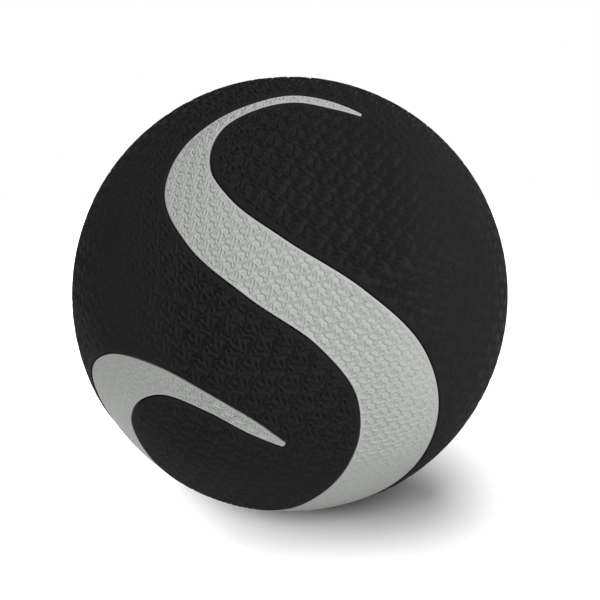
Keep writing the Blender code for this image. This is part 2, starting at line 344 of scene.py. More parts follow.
def edge_distance(places, rear=True):
    """Metres to the nearest swirl's edge, negative on the swirl."""
    line, half = MIDDLE, HALF
    if rear:
        line, half = np.vstack((MIDDLE, MIDDLE * HALF_TURN)), np.tile(HALF, 2)
    found = np.empty(len(places))
    for i in range(0, len(places), BATCH):
        angles = np.arccos(np.clip(places[i : i + BATCH] @ line.T, -1, 1))
        found[i : i + BATCH] = (angles * BALL_RADIUS - half).min(1)
    return found


print("the top of the ball is", round(edge_distance(NORTH[None])[0] * MM, 1), "mm outside a swirl")

# %% [markdown]
# ## The grip
#
# The whole ball carries a moulded grip: small raised lines, each a figure of two long and two short
# leaves that cross, nested like tiles. A bump map would vanish at the outline and in the exported
# mesh, so the lines are real. A figure is drawn once, flat, in millimetres, as four smooth lines.

# %% Grip lines
GRIP_LINES = (
    ((2.9, -3.7), (2.1, -2.9), (0.9, -1.5), (0, 0), (-0.25, 2.2), (-0.2, 4.8), (0.5, 6.6), (1.6, 7.4),
     (2.8, 6.8), (3.8, 5.6), (4.8, 4.7)),
    ((-3.6, 1.2), (-2.6, 0.1), (-1.2, -0.35), (0, 0), (2.2, 0.1), (4.7, 0.4), (6.2, 0.9), (7.2, 1.7),
     (6.3, 2.6), (5, 2.9), (3.6, 3)),
    ((-3.6, 1.2), (-2.9, 2), (-1.7, 2.5), (-0.3, 2.6)),
    ((2.9, -3.7), (4.2, -2.8), (5, -1.5), (5.2, 0.3)),
)
CREST_STEP = 1.05
FINE_STEP = 0.5
CURVE_CUTS = 24


def even_steps(dense, step, closed=False):
    """A dense line, or a closed row, cut again into even steps."""
    if closed:
        dense = np.vstack((dense, dense[:1]))
    run = np.concatenate(([0], np.cumsum(np.linalg.norm(np.diff(dense, axis=0), axis=1))))
    count = max(2, round(run[-1] / step))
    at = np.linspace(0, run[-1], count + 1)[: count if closed else None]
    return np.stack([np.interp(at, run, row) for row in dense.T], -1)


def smooth_line(points, step):
    """A cubic through flat points, cut into even steps."""
    points = np.array(points, float)
    ends = 2 * points[[0, -1]] - points[[1, -2]]
    p = np.vstack((ends[:1], points, ends[1:]))
    t = np.linspace(0, 1, CURVE_CUTS, endpoint=False)[:, None]
    pieces = []
    for a, b, c, d in zip(p, p[1:], p[2:], p[3:]):
        bend = a - 2.5 * b + 2 * c - d / 2
        twist = 1.5 * (b - c) + (d - a) / 2
        pieces.append(b + (c - a) * t / 2 + bend * t**2 + twist * t**3)
    return even_steps(np.vstack((*pieces, points[-1:])), step)


crests = [smooth_line(line, CREST_STEP) for line in GRIP_LINES]
fine_lines = [smooth_line(line, FINE_STEP) for line in GRIP_LINES]
RIB_STARTS = np.vstack([line[:-1] for line in fine_lines])
RIB_ENDS = np.vstack([line[1:] for line in fine_lines])
print(len(GRIP_LINES), "lines in a figure, cut into", len(RIB_STARTS), "short pieces")

# %% [markdown]
# A rib is about two millimetres wide at its foot and comes to a crest, as a cut in a mould leaves it.
# Its height at any point follows from the distance to the nearest line, so that is measured first.

# %% Distance from a rib
RIB_HALF_WIDTH = 0.95


def rib_distance(flat):
    """Millimetres from flat points to the figure's nearest line."""
    way = RIB_ENDS - RIB_STARTS
    from_start = flat[:, None] - RIB_STARTS
    share = np.clip((from_start * way).sum(-1) / (way**2).sum(-1), 0, 1)
    return np.linalg.norm(from_start - way * share[..., None], axis=-1).min(1)


print("a rib is", 2 * RIB_HALF_WIDTH, "mm wide at its foot")

# %% [markdown]
# An even grid of points would step across the ribs. Instead there are points along each crest, along
# both feet and on the bare ground between, so that the triangles follow the lines. Each point keeps how
# far up a rib it is and whether it lies in the crease at a foot, which gets painted shade.

# %% Points of one figure
FIGURE_MIDDLE = np.array((1.8, 1.8))
# Width of the crease at a rib's foot that gets painted shade.
CREASE_SHADE_WIDTH = 0.2
GRIP_PITCH = 0.01153
GRIP_TILT = math.radians(83.8)
GROUND_SPAN = (-9, 12)
GROUND_STEP = 1.8
GROUND_CLEAR = 1.1
LEAST_GAP = 0.36


def figure_feet():
    """Points along both feet of each line."""
    feet = []
    for line in crests:
        way = np.gradient(line, axis=0)
        way /= np.linalg.norm(way, axis=1)[:, None]
        off = np.stack((-way[:, 1], way[:, 0]), -1) * RIB_HALF_WIDTH
        feet += [line + off, line - off]
    return feet


def figure_ground():
    """Points on bare ground nearer to this figure than to its neighbours."""
    angles = [GRIP_TILT + k * math.pi / 3 for k in range(6)]
    neighbours = [GRIP_PITCH * MM * np.array((math.cos(a), math.sin(a))) for a in angles]
    ticks = np.arange(*GROUND_SPAN, GROUND_STEP)
    grid = np.stack(np.meshgrid(ticks, ticks), -1).reshape(-1, 2)
    clear = np.min([rib_distance(grid - step) for step in (np.zeros(2), *neighbours)], axis=0)
    from_middle = grid - FIGURE_MIDDLE
    nearest = np.linalg.norm(from_middle, axis=1)
    own = np.all([np.linalg.norm(from_middle - step, axis=1) > nearest for step in neighbours], 0)
    return grid[(clear > GROUND_CLEAR) & own]


def apart(points, least):
    """Drops every point that is nearer than this to one before it."""
    kept = []
    for point in points:
        if all(np.hypot(*(point - other)) >= least for other in kept):
            kept.append(point)
    return np.array(kept)


FIGURE = apart(np.vstack((*crests, *figure_feet(), figure_ground())), LEAST_GAP)
from_rib = rib_distance(FIGURE)
FIGURE_RIB = 1 - np.clip(from_rib / RIB_HALF_WIDTH, 0, 1)
# Points in the crease at a rib's foot get painted shade.
FIGURE_CREASE_SHADE = (np.abs(from_rib - RIB_HALF_WIDTH) < CREASE_SHADE_WIDTH) * 1.0
print("one grip figure has", len(FIGURE), "points")

# %% [markdown]
# ## Where the figures sit
#
# A flat pattern can't wrap a sphere without a join somewhere: on a grid of latitudes it would crowd at
# the poles. A geodesic grid, the faces of an icosahedron cut into small triangles, spreads the figures
# evenly, nearly all of them with six neighbours. It starts from the plain icosahedron, whose corners
# are those of three crossed golden rectangles.

# %% Icosahedron
def icosahedron():
    """Its corners as unit vectors, and its faces as threes of corner numbers."""
    golden = (1 + math.sqrt(5)) / 2
    corners = [(0, a, b * golden) for a in (-1, 1) for b in (-1, 1)]
    corners = unit(np.array([np.roll(c, k) for c in corners for k in range(3)], float))
    gaps = np.linalg.norm(corners[:, None] - corners, axis=-1)
    joined = gaps < gaps[gaps > 0.1].min() * 1.01
    threes = itertools.combinations(range(len(corners)), 3)
    return corners, [(i, j, k) for i, j, k in threes if joined[i, j] and joined[j, k] and joined[i, k]]


ICO_CORNERS, ICO_FACES = icosahedron()
print("icosahedron has", len(ICO_CORNERS), "corners and", len(ICO_FACES), "faces")

# %% [markdown]
# It is turned so that one face looks to the front, and each face is cut into small triangles, with a
# figure at every corner. The figures follow the grid direction nearest to a given turn from upright, one
# turn on the top cap and another below it, as on the real ball.

# %% Geodesic grid
COVER_CUTS = 12
COVER_GRID_FRONT = direction(16, 45)
CAP_START = 0.67
CAP_TURN = math.radians(-19)
LOWER_TURN = math.radians(-77)


def upright(place, way):
    """The place, a way made level there, and the way to its left."""
    way = unit(way - place * (way @ place))
    return np.array((place, way, np.cross(place, way)))


def rotated(ways, place, angle):
    """Level ways at a place, turned about it."""
    return ways * math.cos(angle) + np.cross(place, ways) * math.sin(angle)


def geodesic_sites(cuts, front, turn, lower_turn):
    """Places of a grid with one face to the front, and the way each figure follows."""
    first = ICO_CORNERS[list(ICO_FACES[0])]
    old = upright(unit(first.sum(0)), first[1] - first[0])
    new = upright(front, NORTH)
    new[1:] = rotated(new[1:], front, turn)
    corners = ICO_CORNERS @ old.T @ new
    found = {}
    for face in ICO_FACES:
        a, b, c = corners[list(face)]
        ways = unit(np.array((b - a, c - b, a - c, a - b, b - c, c - a)))
        middle = unit(a + b + c)
        aim = rotated(upright(middle, NORTH)[1], middle, turn if middle[2] > CAP_START else lower_turn)
        way = ways[np.argmax(ways @ aim)]
        for i in range(cuts + 1):
            for j in range(cuts + 1 - i):
                place = unit((a * (cuts - i - j) + b * i + c * j) / cuts)
                found.setdefault(tuple(np.round(place, 4) + 0.0), (place, way))
    return (np.array(rows) for rows in zip(*found.values()))


SITES, site_ways = geodesic_sites(COVER_CUTS, COVER_GRID_FRONT, CAP_TURN, LOWER_TURN)
print(len(SITES), "grip figures on the ball")

# %% [markdown]
# Now the flat figure goes onto the ball. A modifier would stretch it, so each point is laid off from its
# site along the surface, as with a tape measure. Another helper works the other way round, for the
# points along the grooves: it finds how far up the nearest rib any place is.

# %% Figures on the ball
NEAREST_FIGURES = 4


def figure_ways(sites, ways, tilt):
    """The figure's two axes at each site, from the way its grid runs."""
    ways = unit(ways - sites * dots(ways, sites))
    left = np.cross(sites, ways)
    x_ways = ways * math.cos(tilt) - left * math.sin(tilt)
    return x_ways, np.cross(sites, x_ways)


def around(site, x_way, y_way, flat):
    """Places at flat millimetres from a site, along the surface."""
    angle = np.linalg.norm(flat, axis=-1, keepdims=True) / (BALL_RADIUS * MM)
    level = (x_way * flat[..., :1] + y_way * flat[..., 1:]) / (BALL_RADIUS * MM)
    return site * np.cos(angle) + level * np.sinc(angle / np.pi)


def rib_at(places):
    """How far up a rib each place is, 0 to 1, by its nearest figures."""
    best = np.zeros(len(places))
    near = np.argsort(-(places @ SITES.T), axis=1)[:, :NEAREST_FIGURES]
    for site in near.T:
        flat = np.stack([(places * way[site]).sum(-1) for way in (SITE_X, SITE_Y)], -1)
        span = np.arccos(np.clip((places * SITES[site]).sum(-1), -1, 1))
        flat *= (span / np.maximum(np.sin(span), 1e-9) * BALL_RADIUS * MM)[:, None]
        best = np.maximum(best, 1 - rib_distance(flat) / RIB_HALF_WIDTH)
    return best


SITE_X, SITE_Y = figure_ways(SITES, site_ways, GRIP_TILT)
figure_places = around(SITES[:, None], SITE_X[:, None], SITE_Y[:, None], FIGURE[None]).reshape(-1, 3)
print(len(figure_places), "points in all the figures")

# %% [markdown]
# ## Shape of the cover
#
# On the real ball the grip, the grooves and the plug's seat all come out of one mould. Booleans or
# displacement could cut them, but both blur fine edges. Here the outside is a height for each direction
# from the centre. First the grip: the crests stand at the ball's radius, and between them the rubber
# lies up to a millimetre lower, less underneath and on the two sides.

# %% Depth of the grip
RIB_HEIGHT = 0.00095
BARE_LEVEL = 0.45
UNDERSIDE, UNDERSIDE_LOSS = (0.2, 0.65), 0.55
SIDES, SIDES_LOSS = (0.35, 0.75), 0.6


def ramp(x, low, high):
    """Smooth rise from 0 at low to 1 at high."""
    t = np.clip((x - low) / (high - low), 0, 1)
    return t * t * (3 - 2 * t)


def shallower(places):
    """Share of the grip's depth, less underneath and on the two sides."""
    underneath = ramp(-places[:, 2], *UNDERSIDE)
    sides = ramp(np.abs(places[:, 0]), *SIDES)
    return (1 - UNDERSIDE_LOSS * underneath) * (1 - SIDES_LOSS * sides)


def below_crests(places, rib, fade, height):
    """How far under the crests places lie. Where the grip fades out they are part way up."""
    return height * shallower(places) * (1 - rib * fade - BARE_LEVEL * (1 - fade))


print("grip is", round(RIB_HEIGHT * MM, 2), "mm deep, and at the sides", 1 - SIDES_LOSS, "of that")

# %% [markdown]
# The rest of the height follows: the cover rolls over into the grooves and the plug's seat with a smooth
# lip, drops to their floors, and is pressed flat where the loaded ball meets the ground. One function
# that knows all this keeps every edge where it belongs, however the points lie.

# %% Cover heights
GRIP_FADE = (0.0022, 0.0042)
SEAT_GRIP_FADE = (0.0130, 0.0165)
LIP_WIDTH, LIP_DROP = 0.0026, 0.0010
GROOVE_GAP = 0.0003
GROOVE_FLOOR = 0.1109
SEAT_RADIUS = 0.0098
SEAT_FLOOR = 0.1122
SEAT_LIP_WIDTH, SEAT_LIP_DROP = 0.0012, 0.0006
WALL_SLACK = 0.00002
PLUG_WAY = direction(222, 32)


def rolled(x, width):
    """Fall of a rolled edge: all of it at 0 and none at its width."""
    t = np.clip(x / width, 0, 1)
    return 1 - np.sqrt(1 - (1 - t) ** 2)


def pressed_flat(places, radius):
    """The radius, cut short where the floor is."""
    return np.minimum(radius, CENTRE_HEIGHT / np.maximum(-places[:, 2], 1e-6))


def plug_distance(places):
    """Metres along the surface from the plug's axis."""
    return np.arccos(np.clip(places @ PLUG_WAY, -1, 1)) * BALL_RADIUS


def cover_radius(places, rib):
    """Radius of the cover's outside, and how much of the grip shows there."""
    edge, plug = edge_distance(places), plug_distance(places)
    fade = ramp(edge, *GRIP_FADE) * ramp(plug, *SEAT_GRIP_FADE)
    radius = BALL_RADIUS - below_crests(places, rib, fade, RIB_HEIGHT)
    radius -= LIP_DROP * rolled(edge - GROOVE_GAP, LIP_WIDTH)
    radius -= SEAT_LIP_DROP * rolled(plug - SEAT_RADIUS, SEAT_LIP_WIDTH)
    radius = np.where(edge < GROOVE_GAP - WALL_SLACK, GROOVE_FLOOR, radius)
    radius = np.where(plug < SEAT_RADIUS - WALL_SLACK, SEAT_FLOOR / (places @ PLUG_WAY), radius)
    return pressed_flat(places, radius), fade * rib


print("grooves are", round((BALL_RADIUS - GROOVE_FLOOR) * MM, 1), "mm deep")

# %% [markdown]
# ## Points of the cover
#
# A subdivided sphere could carry these heights, but its edges would run across the grooves and show as
# steps. So the points go where the shape turns. Seven rows beside each groove's edge follow the wall
# and its lip, loose ones lie on the groove's floor, and rings follow the plug's seat and the hole in it.

# %% Rows along the grooves
LIP_STEPS = (0.00026, 0.0003, 0.0005, 0.0009, 0.0015, 0.0022, 0.0030)
LIP_POINT_STEP = 0.0009
FLOOR_STEP = 0.008
OUTLINE_CUTS, TIP_CUTS = 1400, 24
SEAT_STEPS = (0.00976, SEAT_RADIUS, 0.0099, 0.0103, 0.0110, 0.0122, 0.0136)
SEAT_FLOOR_RING = 0.0085
NECK_HOLE = 0.0073


def swirl_outline(offset, step):
    """Closed row of places at an offset outside the front swirl's edge."""
    s = np.linspace(0, SWIRL_LENGTH, OUTLINE_CUTS)
    half = np.interp(s, DISTANCE, HALF) + offset
    turn = np.linspace(math.pi / 2, -math.pi / 2, TIP_CUTS)[1:-1]
    first, last = HALF[0] + offset, HALF[-1] + offset
    round_s = (s, SWIRL_LENGTH + last * np.cos(turn), s[::-1], -first * np.cos(turn))
    round_t = (half, last * np.sin(turn), -half[::-1], -first * np.sin(turn))
    row = on_swirl(np.concatenate(round_s), np.concatenate(round_t))
    return unit(even_steps(row, step / BALL_RADIUS, closed=True))


def plug_ring(radius, count=72):
    """Places round the plug's axis at a distance along the surface."""
    x_way = unit(np.cross(PLUG_WAY, (0.3, 0.2, 1)))
    y_way = np.cross(PLUG_WAY, x_way)
    turn = np.linspace(0, 2 * math.pi, count, endpoint=False)
    flat = np.stack((np.cos(turn), np.sin(turn)), -1) * radius * MM
    return around(PLUG_WAY, x_way, y_way, flat)


lip_rows = [swirl_outline(offset, LIP_POINT_STEP) for offset in LIP_STEPS]
lip_rows += [row * HALF_TURN for row in lip_rows]
s_grid, t_grid = np.meshgrid(np.arange(0, SWIRL_LENGTH, FLOOR_STEP), np.linspace(-0.9, 0.9, 5))
floor_places = on_swirl(s_grid.ravel(), (t_grid * np.interp(s_grid, DISTANCE, HALF)).ravel())
seat_rings = [plug_ring(SEAT_FLOOR_RING, 60)] + [plug_ring(radius) for radius in SEAT_STEPS]
hole_ring = plug_ring(NECK_HOLE)
print(len(lip_rows), "rows along the grooves,", len(seat_rings), "rings round the plug's seat")

# %% [markdown]
# The grip figures keep their points except where a groove, its lip or the plug's seat takes the room.
# The cover's two halves meet round the middle, as the mould's do. They share one belt of points there,
# so that they meet without a step, with extra points where a groove crosses it.

# %% Figures with room, and the belt
GROOVE_ROOM, SEAT_ROOM = 0.0034, 0.0140
BELT_ROOM, BELT_ROOM_LOOSE = 0.004, 0.002
BELT_CUTS, BELT_EVERY = 20000, 24

has_room = (edge_distance(figure_places) > GROOVE_ROOM) & (plug_distance(figure_places) > SEAT_ROOM)
has_room &= np.abs(figure_places[:, 2]) > BELT_ROOM
figure_places = unit(figure_places[has_room])
figure_ribs = np.tile(FIGURE_RIB, len(SITES))[has_room]
figure_creases = np.tile(FIGURE_CREASE_SHADE, len(SITES))[has_room]

round_turn = np.linspace(0, 2 * math.pi, BELT_CUTS, endpoint=False)
belt = np.stack((np.sin(round_turn), -np.cos(round_turn), 0 * round_turn), -1)
belt_edge = edge_distance(belt)
marks = [np.arange(0, BELT_CUTS, BELT_EVERY)]
for offset in LIP_STEPS:
    marks.append(np.flatnonzero(np.diff(np.sign(belt_edge - offset))))
belt = belt[np.unique(np.concatenate(marks))]
loose = np.vstack((*lip_rows, floor_places, floor_places * HALF_TURN, *seat_rings))
loose = loose[np.abs(loose[:, 2]) > BELT_ROOM_LOOSE]
print(len(figure_places), "figure points,", len(loose), "others,", len(belt), "round the middle")

# %% [markdown]
# ## Triangles on a curved sheet
#
# Blender's Delaunay triangulation joins loose points into well-shaped triangles, but only on a flat
# sheet. Looking at a half ball from its far pole flattens it without changing angles, so the triangles
# come out well shaped on the ball too. Points that nearly coincide would make slivers, so only one is
# kept in each small cube of space.

# %% Triangles on a curved sheet
def sheet_faces(places, out, loops):
    """Faces over places on the side that faces out, inside closed rows."""
    x_way = unit(np.cross((0.1, 1, 0.2), out))
    flat = np.stack((places @ x_way, places @ np.cross(out, x_way)), -1) / (1 + places @ out)[:, None]
    edges = [(int(a), int(b)) for loop in loops for a, b in zip(loop, np.roll(loop, -1))]
    _, _, faces, origin, _, _ = delaunay_2d_cdt([Vector(p) for p in flat], edges, [], 1, 1e-8)
    return [[origin[v][0] for v in face] for face in faces]


def thinned(places, fixed, cube):
    """Numbers of the fixed places and of one more in each small cube."""
    cubes = np.floor(places[fixed:] * BALL_RADIUS / cube).astype(int)
    _, first = np.unique(cubes, axis=0, return_index=True)
    return np.concatenate((np.arange(fixed), fixed + np.sort(first)))


hole_faces = sheet_faces(hole_ring, PLUG_WAY, [np.arange(len(hole_ring))])
print("as a trial, the neck's hole fills with", len(hole_faces), "triangles")

# %% [markdown]
# A moulded piece has a thickness. Solidify would repeat every rib on the inside, at twice the weight, so
# each body is closed by hand: the gripped outside, a plain sheet inside and walls between their edges.
# The grip's two numbers stay on the points, for the rubber's colour.

# %% Closed bodies
MOULDED_EDGE = math.radians(22)


def wall_faces(loop, below, flip):
    """Quads from a closed row of points down to its copy."""
    pairs = zip(loop.tolist(), np.roll(loop, -1).tolist())
    walls = [[a, a + below, b + below, b] for a, b in pairs]
    return [wall[::-1] for wall in walls] if flip else walls


def shade(mesh, sharp):
    """Shades a mesh smooth but for edges sharper than an angle."""
    mesh.shade_smooth()
    mesh.set_sharp_from_angle(angle=sharp)
    print(mesh.name, "has", len(mesh.polygons), "faces")


def closed_body(name, top, bottom, top_faces, bottom_faces, walls, **numbers):
    """Mesh of two sheets and the walls between, with numbers on the top's points."""
    below = len(top)
    faces = top_faces + [[v + below for v in face[::-1]] for face in bottom_faces]
    for loop, flip in walls:
        faces += wall_faces(loop, below, flip)
    mesh = bpy.data.meshes.new(name)
    mesh.from_pydata(np.vstack((top, bottom)) + CENTRE, [], faces)
    mesh.validate()
    shade(mesh, MOULDED_EDGE)
    for key, values in numbers.items():
        values = np.concatenate((values, np.zeros(len(bottom)))).astype(np.float32)
        mesh.attributes.new(key, "FLOAT", "POINT").data.foreach_set("value", values)
    return mesh


print("edges sharper than", round(math.degrees(MOULDED_EDGE)), "degrees stay crisp")

# %% [markdown]
# ## Two halves of the cover
#
# The black cover is moulded in two halves. One sphere cut in two would leave slivers where the cut meets
# the ribs, so each half starts from the shared belt and takes its own points. Those beside the grooves
# get part of the creases' painted shade, because the lip looks a little darker on the real ball.

# %% Points of each half
COVER_SPACING = 0.00028
# Share of the creases' painted shade that the lip beside the grooves gets.
LIP_SHADE = 0.75


def half_points(side, hole):
    """Places on one half, belt and hole first, with their ribs and the painted shade of their creases."""
    extra = loose[loose[:, 2] * side > 0]
    plain = np.vstack((belt, hole, extra))
    own = figure_places[:, 2] * side > 0
    fixed = len(belt) + len(hole)
    places = np.vstack((plain, figure_places[own]))
    kept = thinned(places, fixed, COVER_SPACING)
    ribs = np.concatenate((rib_at(plain), figure_ribs[own]))
    plain_creases = (np.zeros(fixed), np.full(len(extra), LIP_SHADE))
    creases = np.concatenate((*plain_creases, figure_creases[own]))
    return places[kept], ribs[kept], creases[kept]


NO_HOLE = hole_ring[:0]
upper_points = half_points(1, hole_ring)
lower_points = half_points(-1, NO_HOLE)
print(len(upper_points[0]), "points on the upper half,", len(lower_points[0]), "on the lower")

# %% [markdown]
# Each half is then one closed body. The inside needs only a coarse spread of points, because nothing
# but the carcass lies against it. The upper half has a hole for the filling neck: faces whose corners
# all lie on the hole's ring are left out, outside and inside, and a wall joins the two rings.

# %% Two halves of the cover
COVER_INNER = 0.109
HOLE_ROOM = 0.012


def cover_half(name, side, hole, places, ribs, creases):
    """Closed mesh of the upper half, side 1, or the lower half, side -1."""
    spread = np.array([direction(a, side * b) for b in range(8, 90, 8) for a in range(0, 360, 12)])
    inner = np.vstack((belt, hole, spread[plug_distance(spread) > HOLE_ROOM]))
    fixed = len(belt) + len(hole)
    round_middle, round_hole = np.arange(len(belt)), np.arange(len(belt), fixed)
    loops = [loop for loop in (round_middle, round_hole) if len(loop)]
    out = np.array((0, 0, side))
    outside, inside = (
        [face for face in sheet_faces(sheet, out, loops) if not all(len(belt) <= v < fixed for v in face)]
        for sheet in (places, inner)
    )
    radius, grip = cover_radius(places, ribs)
    walls = ((round_middle, side < 0), (round_hole, True))
    top, bottom = places * radius[:, None], inner * COVER_INNER
    # The painted crease shade is weaker underneath and on the sides, where the grip is shallower.
    creases = creases * shallower(places)
    return closed_body(name, top, bottom, outside, inside, walls, rib=grip, crease=creases)


upper = cover_half("cover_upper_moulded", 1, hole_ring, *upper_points)
lower = cover_half("cover_lower_moulded", -1, NO_HOLE, *lower_points)

# %% [markdown]
# ## The grey swirls
#
# The swirls are strips of grey rubber that lie in the grooves, about eight tenths of a millimetre below
# the black. They carry the same figure at two thirds of the size, on a finer geodesic grid of their own.
# A pattern laid along the strip would bend with it, and the real figures don't. The rear strip is a copy
# of the front one, turned half round the upright axis.

# %% Points of a swirl
SWIRL_CUTS = 18
SWIRL_GRID_FRONT = direction(-6, 27)
SWIRL_TURN = math.radians(8)
SWIRL_TILT = GRIP_TILT - math.pi / 3
SWIRL_GRIP = 0.657
SWIRL_REACH = 0.008
SWIRL_ROOM = 0.0010
SWIRL_SPACING = 0.0002
EDGE_STEPS = (0, 0.00012, 0.0003, 0.0007)
EDGE_POINT_STEP = 0.0007


def swirl_points(edge_rows):
    """Places on the front swirl, outline first, with their ribs and the painted shade of their creases.
    """
    sites, ways = geodesic_sites(SWIRL_CUTS, SWIRL_GRID_FRONT, SWIRL_TURN, SWIRL_TURN)
    near = edge_distance(sites, rear=False) < SWIRL_REACH
    sites = sites[near]
    x_ways, y_ways = figure_ways(sites, ways[near], SWIRL_TILT)
    figures = around(sites[:, None], x_ways[:, None], y_ways[:, None], FIGURE[None] * SWIRL_GRIP)
    figures = unit(figures.reshape(-1, 3))
    inside = edge_distance(figures, rear=False) < -SWIRL_ROOM
    places = np.vstack((*edge_rows, figures[inside]))
    bare = np.zeros(len(places) - inside.sum())
    kept = thinned(places, len(edge_rows[0]), SWIRL_SPACING)
    ribs, creases = (
        np.concatenate((bare, np.tile(numbers, len(sites))[inside]))[kept]
        for numbers in (FIGURE_RIB, FIGURE_CREASE_SHADE)
    )
    return places[kept], ribs, creases


edge_rows = [swirl_outline(-inset, EDGE_POINT_STEP) for inset in EDGE_STEPS]
strip_places, strip_ribs, strip_creases = swirl_points(edge_rows)
print("a swirl has", len(strip_places), "points on its face")

# %% [markdown]
# The strip is a closed body like the cover's halves, and its heights follow theirs: crests at the top, a
# bare margin and a rounded edge. It is pressed flat with the ball where it passes underneath.

# %% Grey swirls
SWIRL_TOP = 0.1142
SWIRL_BOTTOM = 0.1112
SWIRL_RIB_HEIGHT = 0.00058
SWIRL_FADE = (0.0008, 0.0016)
SWIRL_EDGE_WIDTH, SWIRL_EDGE_DROP = 0.0006, 0.0004
SWIRL_SEEN_FROM = direction(-5, -5)
UNDER_STEP = 0.01


def swirl_strip(name):
    """Closed mesh of the front swirl."""
    depth = -edge_distance(strip_places, rear=False)
    fade = ramp(depth, *SWIRL_FADE)
    radius = SWIRL_TOP - below_crests(strip_places, strip_ribs, fade, SWIRL_RIB_HEIGHT)
    radius -= SWIRL_EDGE_DROP * rolled(depth, SWIRL_EDGE_WIDTH)
    radius = pressed_flat(strip_places, radius)
    middle_run = np.arange(UNDER_STEP, SWIRL_LENGTH, UNDER_STEP)
    under = np.vstack((edge_rows[0], on_swirl(middle_run, 0 * middle_run)))
    outline = np.arange(len(edge_rows[0]))
    top_faces, under_faces = (
        sheet_faces(sheet, SWIRL_SEEN_FROM, [outline]) for sheet in (strip_places, under)
    )
    top, bottom = strip_places * radius[:, None], under * SWIRL_BOTTOM
    grip = strip_ribs * fade
    # The painted crease shade is weaker underneath and on the sides, where the grip is shallower.
    creases = strip_creases * fade * shallower(strip_places)
    walls = ((outline, False),)
    return closed_body(name, top, bottom, top_faces, under_faces, walls, rib=grip, crease=creases)


front_strip = swirl_strip("swirl_front_moulded")
rear_strip = front_strip.copy()
rear_strip.name = "swirl_rear_moulded"
rear_strip.transform(Matrix.Rotation(math.pi, 4, "Z"))

# %% [markdown]
# ## Needle core
#
# Sand goes in through a short neck at the back, and a plug closes it. A core of soft gum in the plug
# closes by itself after a pump's needle is drawn out. All three are turned shapes: an outline of radius
# against distance from the ball's centre, swept round one axis. A Screw modifier would do on an upright
# axis, and this one slants, so the sweep is written out.

# %% Needle core
TURN_CUTS = 72
TURNED_EDGE = math.radians(50)
PLUG_TURN = Vector(PLUG_WAY).to_track_quat("Z", "Y").to_matrix()
CORE_OUTLINE = (
    (0, 0.108), (0.0004, 0.109), (0.0008, 0.1099), (0.0011, 0.110), (0.0018, 0.110),
    (0.002, 0.1098), (0.002, 0.1012), (0.0018, 0.101), (0, 0.101),
)


def turned(name, outline):
    """Closed body swept round the plug's axis from pairs of radius and distance."""
    shape = bmesh.new()
    rings = []
    for k in range(TURN_CUTS):
        a = 2 * math.pi * k / TURN_CUTS
        spots = [Vector((r * math.cos(a), r * math.sin(a), z)) for r, z in outline]
        rings.append([shape.verts.new(PLUG_TURN @ spot + Vector(CENTRE)) for spot in spots])
    for here, there in zip(rings, rings[1:] + rings[:1]):
        for i in range(len(outline)):
            j = (i + 1) % len(outline)
            shape.faces.new((here[i], there[i], there[j], here[j]))
    bmesh.ops.remove_doubles(shape, verts=shape.verts, dist=1e-7)
    bmesh.ops.recalc_face_normals(shape, faces=shape.faces)
    mesh = bpy.data.meshes.new(name)
    shape.to_mesh(mesh)
    shape.free()
    shade(mesh, TURNED_EDGE)
    return mesh


core = turned("needle_core_turned", CORE_OUTLINE)

# %% [markdown]
# ## Filling plug
#
# The plug's tapered shank wedges it in the neck. Its head has a finger groove, a funnel for the needle
# and a rounded rim, and the shank has three sealing rings. Small as they are, they show when the plug is
# pulled, and a bump map would not give them an outline, so they are swells in the turned outline.

# %% Filling plug
PLUG_HEAD, PLUG_TOP, PLUG_TIP = 0.0095, 0.1147, 0.101
RIM_ROUND, RIM_TURN = 0.0005, 1.57
FUNNEL_HOLE, FUNNEL_WIDTH, FUNNEL_DEPTH = 0.0008, 0.0012, 0.0006
FINGER_GROOVE, FINGER_GROOVE_WIDTH, FINGER_GROOVE_DEPTH = 0.0064, 0.00055, 0.00035
SHANK_TOP, SHANK_BOTTOM, SHANK_LENGTH = 0.1115, 0.1020, 0.0115
SHANK_TIP, SHANK_FLARE = 0.0042, 0.0006
SEALING_RINGS, RING_WIDTH, RING_HEIGHT = (0.1095, 0.107, 0.1045), 0.00045, 0.00016


def dome(ball, r):
    """Height of a ball's surface at a radius from its axis."""
    return math.sqrt(ball**2 - r**2)


def swell(x, middle, width):
    """A smooth bump, 1 at its middle."""
    return math.exp(-(((x - middle) / width) ** 2))


def plug_head():
    """The domed face from funnel to rim, and the head's side and underside."""
    flat_edge = PLUG_HEAD - RIM_ROUND
    outline = []
    for r in np.linspace(FUNNEL_HOLE, flat_edge, 48):
        groove = FINGER_GROOVE_DEPTH * swell(r, FINGER_GROOVE, FINGER_GROOVE_WIDTH)
        funnel = FUNNEL_DEPTH * max(0, 1 - (r - FUNNEL_HOLE) / FUNNEL_WIDTH)
        outline.append((r, dome(PLUG_TOP, r) - groove - funnel))
    for a in np.linspace(0, RIM_TURN, 7)[1:]:
        drop = -RIM_ROUND + RIM_ROUND * math.cos(a)
        outline.append((flat_edge + RIM_ROUND * math.sin(a), dome(PLUG_TOP, flat_edge) + drop))
    side = [(PLUG_HEAD, 0.1127), (PLUG_HEAD - 0.0002, 0.1125)]
    return outline + side + [(0.0052, 0.1125), (0.0048, 0.1121)]


def plug_shank():
    """The tapered shank with its sealing rings, and the bore inside it."""
    outline = []
    for z in np.linspace(SHANK_TOP, SHANK_BOTTOM, 40):
        taper = SHANK_TIP + SHANK_FLARE * (z - PLUG_TIP) / SHANK_LENGTH
        ring = sum(RING_HEIGHT * swell(z, at, RING_WIDTH) for at in SEALING_RINGS)
        outline.append((taper + ring, z))
    tip = [(SHANK_TIP, 0.1014), (0.0038, PLUG_TIP)]
    bore = [(0.0023, PLUG_TIP), (0.0023, 0.1103), (FUNNEL_HOLE, 0.1103)]
    return outline + tip + bore


